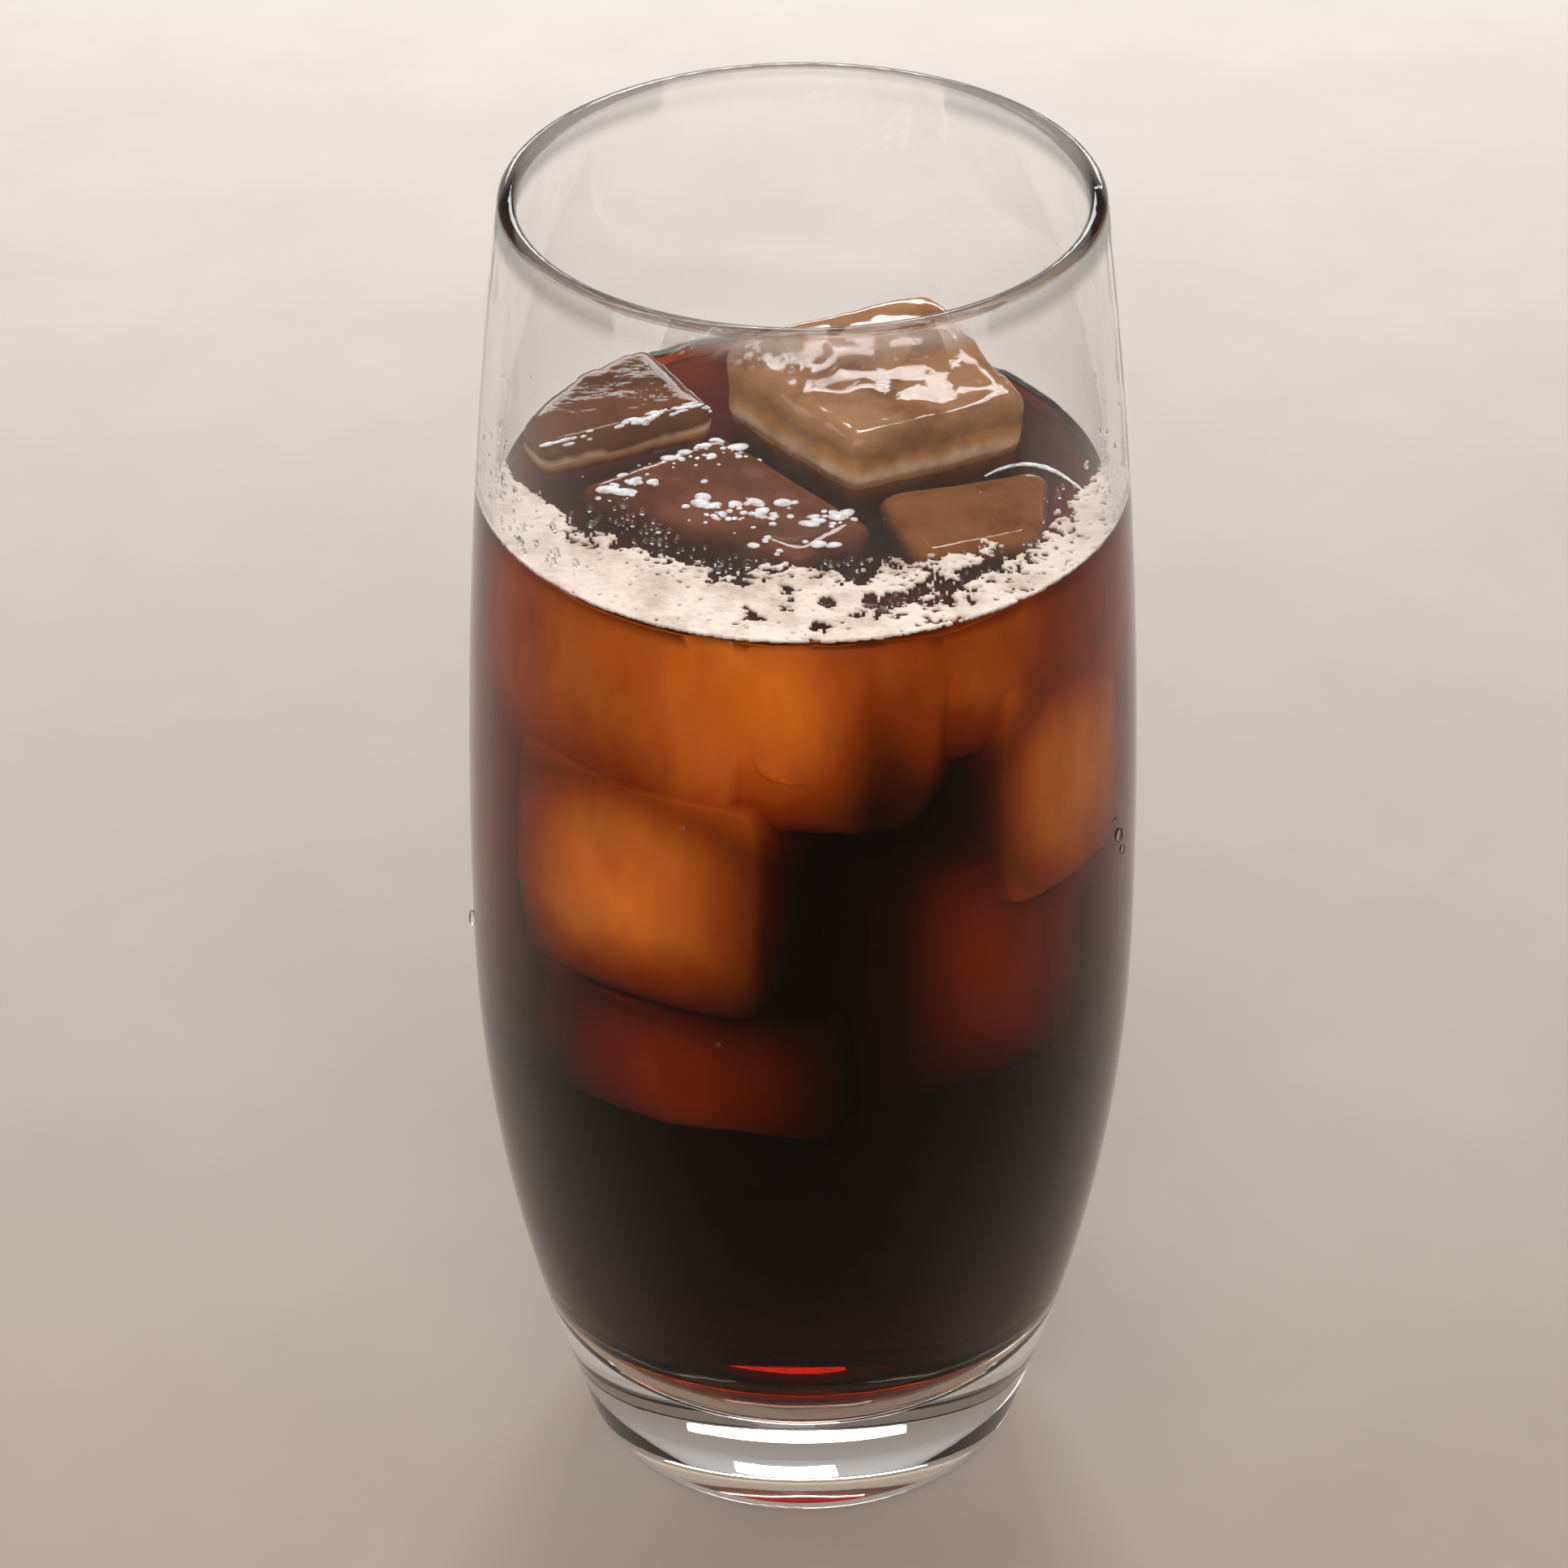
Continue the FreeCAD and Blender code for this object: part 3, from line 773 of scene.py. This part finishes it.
class ICED_OT_bubbles(bpy.types.Operator):
    """Scatters pale bubbles and beads of painted highlight on and beside the ice, and clear ones in the
    coffee's surface
    """

    bl_idname = "iced_coffee.bubbles"
    bl_label = "Bubbles"

    def execute(self, context):
        draw = random.Random(sizes().seed)
        self.pale(draw)
        self.clear(draw)
        return {"FINISHED"}

    def pale(self, draw):
        """Foam blobs on the ice in front, and lines of pale beads at the left and the right cube as painted
        highlight and painted reflection.
        """
        model = bead_model(8, 14)
        parts = []
        self.blobs(draw, model, parts)
        self.edge_highlight_beads(draw, model, parts)
        self.reflection_arc(draw, model, parts)
        bpy.data.objects.remove(model)
        finish = Finish("pale_bubbles")
        finish.set(Roughness=0.12, IOR=1.33, Transmission_Weight=0.2)
        # Painted highlight: the beads are painted pale for the reflections that the bubbles and the wet ice
        # edges catch.
        cells = finish.grain(1100, 2)
        stops = [(0.35, (0.55, 0.50, 0.49)), (0.6, (0.86, 0.86, 0.87))]
        finish.paint(finish.ramp(cells.outputs["Fac"], stops))
        settle(joined(parts), "pale_bubbles", finish.material)

    def pale_bead(self, model, place, turn, size):
        """A copy of the model bead at a place, turned about the upright, of a length, width and height."""
        lie = Matrix.Rotation(turn, 4, "Z")
        return twin(model, Matrix.Translation(place) @ lie @ Matrix.Diagonal((*size, 1)))

    def on_ice(self, name, x, y):
        """The point of a cube that is straight below a place, or None."""
        hit, point, _, _ = bpy.data.objects[name].ray_cast(Vector((x, y, 0.2)), Vector((0, 0, -1)))
        return point if hit else None

    def blobs(self, draw, model, parts):
        """Blobs on the ice in front, in loose clusters."""
        low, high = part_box("ice_front")
        middles = [(draw.uniform(low.x, high.x), draw.uniform(low.y, high.y)) for _ in range(16)]
        while len(parts) < BLOBS:
            x, y = draw.choice(middles)
            x += draw.gauss(0, 2.2 * MM)
            y += draw.gauss(0, 1.3 * MM)
            point = self.on_ice("melting_ice_front", x, y)
            if point is None or point.z < LEVEL - 1 * MM:
                continue
            big = draw.random() < 0.22
            radius = draw.uniform(0.35, 0.75) * MM if big else draw.uniform(0.12, 0.38) * MM
            long = draw.uniform(1.0, 2.1) if big else draw.uniform(1.0, 1.3)
            place = (x, y, max(point.z, LEVEL))
            turn = draw.gauss(0.15, 0.4)
            parts.append(self.pale_bead(model, place, turn, (radius * long, radius, radius * 0.42)))

    def edge_highlight_beads(self, draw, model, parts):
        """A line of long pale beads along the left cube's front edge, as its painted highlight."""
        start, end = (point * MM for point in EDGE_HIGHLIGHT_LINE)
        for _ in range(EDGE_HIGHLIGHT_BEADS):
            along = draw.random()
            spot = start.lerp(end, along) + Vector((draw.gauss(0, 0.25), draw.gauss(0.3, 0.3), 0)) * MM
            point = self.on_ice("melting_ice_left", spot.x, spot.y)
            if point is None:
                continue
            radius = draw.uniform(0.13, 0.34) * MM
            place = (spot.x, spot.y, max(point.z, LEVEL))
            size = (radius * draw.uniform(1.2, 3.6), radius, radius * 0.5)
            parts.append(self.pale_bead(model, place, math.radians(27), size))

    def reflection_arc(self, draw, model, parts):
        """A curved line of pale beads behind the right-hand ice, thickest in its middle, as a painted
        reflection.
        """
        for step in range(REFLECTION_ARC_BEADS):
            share = step / (REFLECTION_ARC_BEADS - 1)
            spot = REFLECTION_ARC[0] * (1 - share) ** 2 + REFLECTION_ARC[1] * 2 * share * (1 - share) + REFLECTION_ARC[2] * share**2
            radius = draw.uniform(0.18, 0.30) * MM * (0.5 + 1.6 * share * (1 - share) * 2)
            place = Vector((spot[0], spot[1], 0)) * MM + Vector((0, 0, LEVEL + 0.05 * MM))
            size = (radius * 2.2, radius, radius * 0.5)
            parts.append(self.pale_bead(model, place, math.radians(45 - 115 * share), size))

    def clear(self, draw):
        """Small clear bubbles in the coffee's surface, wherever no froth lies."""
        edge = inside_radius(LEVEL)
        model = bead_model(6, 10)
        parts = []
        while len(parts) < CLEAR_BUBBLES:
            angle = math.radians(draw.uniform(-75, 88))
            inwards = draw.uniform(0.3, 15) * MM
            radius = draw.uniform(0.12, 0.32) * MM if draw.random() < 0.85 else draw.uniform(0.32, 0.6) * MM
            place = polar(angle, edge - inwards, LEVEL + 0.35 * radius)
            if frothy(Vector((place.x, place.y, LEVEL + 0.1 * MM)), edge):
                continue
            form = Matrix.Diagonal((radius, radius, radius * 0.8, 1))
            parts.append(twin(model, Matrix.Translation(place) @ form))
        bpy.data.objects.remove(model)
        settle(joined(parts), "clear_bubbles", water_finish("clear_bubbles"))


# How many drops hang on the inside, and those on the outside: their angle from the front, height and size, in
# degrees and millimetres.
INSIDE_DROPS = 150
OUTSIDE_DROPS = (
    (68, 83, 0.75),
    (70, 80.5, 0.5),
    (66, 85.5, 0.35),
    (-84, 66, 0.8),
    (-20, 97, 0.3),
    (-14, 72, 0.25),
)


class ICED_OT_drops(bpy.types.Operator):
    """Sets drops on the wall above the coffee and a few on the outside"""

    bl_idname = "iced_coffee.drops"
    bl_label = "Drops"

    def execute(self, context):
        draw = random.Random(sizes().seed + 1)
        model = bead_model(6, 10)
        parts = []
        for _ in range(INSIDE_DROPS):
            side = draw.gauss(-72, 13) if draw.random() < 0.75 else draw.gauss(80, 10)
            up = LEVEL + (1.2 + abs(draw.gauss(0, 4.5))) * MM
            radius = draw.uniform(0.10, 0.30) * MM if draw.random() < 0.8 else draw.uniform(0.3, 0.55) * MM
            out = inside_radius(up)
            parts.append(self.drop(model, math.radians(side), out - 0.25 * radius, up, radius, draw))
        for side, up, radius in OUTSIDE_DROPS:
            aim = -polar(math.radians(side), 1, 0)
            hit, point, _, _ = GLASS.ray_cast(Vector((0, 0, up * MM)) - aim * 0.2, aim)
            if not hit:
                raise RuntimeError("the outside of the glass was not met")
            out = point.xy.length + 0.2 * radius * MM
            parts.append(self.drop(model, math.radians(side), out, up * MM, radius * MM, draw))
        bpy.data.objects.remove(model)
        settle(joined(parts), "wall_drops", water_finish("wall_drops"))
        return {"FINISHED"}

    def drop(self, model, angle, out, up, radius, draw):
        """A bead flattened on the wall, some a little taller than wide."""
        lie = Matrix.Rotation(angle, 4, "Z")
        form = Matrix.Diagonal((radius, radius * 0.45, radius * draw.uniform(0.9, 1.5), 1))
        return twin(model, Matrix.Translation(polar(angle, out, up)) @ lie @ form)


# The room's light by height, from straight below at 0 to straight above at 1.
ROOM = (
    (0.46, (0.42, 0.35, 0.30)),
    (0.53, (0.60, 0.52, 0.46)),
    (0.68, (0.40, 0.34, 0.29)),
    (0.82, (0.52, 0.47, 0.43)),
    (0.93, (1.0, 0.98, 0.96)),
)
ROOM_STRENGTH = 0.68
# What the camera sees where the table ends.
BACKDROP = (0.80, 0.76, 0.72)
# Each lamp's place, size and power.
LAMPS = {
    "window": ((0.03, 1.25, 0.50), (0.85, 0.24), 5),
    "high_window": ((0.06, 0.80, 1.02), (0.34, 0.20), 4.2),
    "window_side": ((-0.95, 0.35, 0.6), (0.4, 0.6), 1.5),
    "fill": ((0.0, -0.80, 0.75), (0.9, 0.7), 5.2),
}
LAMPS_AIM = Vector((0, 0, 0.09))
# The camera's own turns, in degrees: how far it looks down, to the right and tilted.
CAMERA_DOWN = 33.669
CAMERA_TURN = -0.283
CAMERA_ROLL = 0.195
# Where the table's painted shade in front starts and stops fading into its far colour, along Y.
FLOOR_NEAR = -0.12
FLOOR_FAR = 0.42


class ICED_OT_stage(bpy.types.Operator):
    """Sets the table, the lamps, the world and the camera"""

    bl_idname = "iced_coffee.stage"
    bl_label = "Stage"

    def execute(self, context):
        scene = context.scene
        scene.view_settings.view_transform = "Standard"
        self.floor()
        self.world(scene)
        for name, (place, size, power) in LAMPS.items():
            self.lamp(name, place, size, power)
        self.camera(scene)
        return {"FINISHED"}

    def floor(self):
        bpy.ops.object.select_all(action="DESELECT")
        bpy.ops.mesh.primitive_plane_add(size=6, location=(0, 0, 0))
        floor = bpy.context.object
        floor.name = "table_top"
        finish = Finish("table_top")
        finish.set(Roughness=0.7)
        # Painted shade: the table darkens towards the front.
        away = finish.spread(finish.axis("Y"), FLOOR_NEAR, FLOOR_FAR)
        stops = [(0.0, tuple(colours().floor_near_painted_shade)), (1.0, tuple(colours().floor_far))]
        tones = [(0.3, (0.93, 0.925, 0.92)), (0.7, (1.0, 1.0, 1.0))]
        mottle = finish.ramp(finish.grain(28, 4, 0.6).outputs["Fac"], tones)
        finish.paint(finish.shaded(finish.ramp(away, stops), mottle))
        floor.data.materials.append(finish.material)

    def world(self, scene):
        world = bpy.data.worlds.new("room")
        world.use_nodes = True
        scene.world = world
        nodes, links = world.node_tree.nodes, world.node_tree.links
        background = nodes["Background"]
        coordinates = nodes.new("ShaderNodeTexCoord")
        split = nodes.new("ShaderNodeSeparateXYZ")
        links.new(coordinates.outputs["Generated"], split.inputs["Vector"])
        ramp = nodes.new("ShaderNodeValToRGB")
        set_stops(ramp, ROOM)
        reach = nodes.new("ShaderNodeMapRange")
        reach.inputs["From Min"].default_value = -1
        links.new(split.outputs["Z"], reach.inputs["Value"])
        links.new(reach.outputs["Result"], ramp.inputs["Fac"])
        path = nodes.new("ShaderNodeLightPath")
        pale = nodes.new("ShaderNodeBackground")
        pale.inputs["Color"].default_value = (*BACKDROP, 1)
        mix = nodes.new("ShaderNodeMixShader")
        links.new(ramp.outputs["Color"], background.inputs["Color"])
        background.inputs["Strength"].default_value = ROOM_STRENGTH
        links.new(path.outputs["Is Camera Ray"], mix.inputs["Fac"])
        links.new(background.outputs["Background"], mix.inputs[1])
        links.new(pale.outputs["Background"], mix.inputs[2])
        links.new(mix.outputs["Shader"], nodes["World Output"].inputs["Surface"])

    def lamp(self, name, place, size, power):
        """A soft rectangular lamp that looks at the glass."""
        lamp = bpy.data.lights.new(name, "AREA")
        lamp.shape = "RECTANGLE"
        lamp.size, lamp.size_y = size
        lamp.energy = power
        holder = bpy.data.objects.new(name, lamp)
        holder.location = place
        holder.visible_camera = False
        aim = LAMPS_AIM - Vector(place)
        holder.rotation_euler = aim.to_track_quat("-Z", "Y").to_euler()
        bpy.context.scene.collection.objects.link(holder)

    def camera(self, scene):
        camera = bpy.data.cameras.new("camera")
        camera.lens = sizes().lens
        camera.sensor_width = 36
        holder = bpy.data.objects.new("camera", camera)
        down, turn, roll = (math.radians(value) for value in (CAMERA_DOWN, CAMERA_TURN, CAMERA_ROLL))
        holder.matrix_world = (
            Matrix.Translation((0, -sizes().camera_distance, sizes().camera_height))
            @ Matrix.Rotation(-turn, 4, "Z")
            @ Matrix.Rotation(math.pi / 2 - down, 4, "X")
            @ Matrix.Rotation(-roll, 4, "Z")
        )
        scene.collection.objects.link(holder)
        scene.camera = holder


class ICED_PT_panel(bpy.types.Panel):
    """Lists the pieces and the stage"""

    bl_label = "Iced coffee"
    bl_idname = "ICED_PT_panel"
    bl_space_type = "VIEW_3D"
    bl_region_type = "UI"
    bl_category = "Iced coffee"

    def draw(self, context):
        for operator in OPERATORS:
            self.layout.operator(operator.bl_idname)
        for group in (context.scene.iced_coffee_sizes, context.scene.iced_coffee_colours):
            for name in group.bl_rna.properties.keys():
                if name not in ("rna_type", "name"):
                    self.layout.prop(group, name)


OPERATORS = (
    ICED_OT_glass,
    ICED_OT_coffee,
    ICED_OT_surface_ice,
    ICED_OT_sunk_ice,
    ICED_OT_froth,
    ICED_OT_bubbles,
    ICED_OT_drops,
    ICED_OT_stage,
)
CLASSES = (IcedCoffeeSizes, IcedCoffeeColours, *OPERATORS, ICED_PT_panel)


def register():
    for item in CLASSES:
        bpy.utils.register_class(item)
    bpy.types.Scene.iced_coffee_sizes = PointerProperty(type=IcedCoffeeSizes)
    bpy.types.Scene.iced_coffee_colours = PointerProperty(type=IcedCoffeeColours)


def unregister():
    del bpy.types.Scene.iced_coffee_colours
    del bpy.types.Scene.iced_coffee_sizes
    for item in reversed(CLASSES):
        bpy.utils.unregister_class(item)


def main():
    register()
    for operator in OPERATORS:
        group, name = operator.bl_idname.split(".")
        getattr(getattr(bpy.ops, group), name)()


if __name__ == "__main__":
    main()
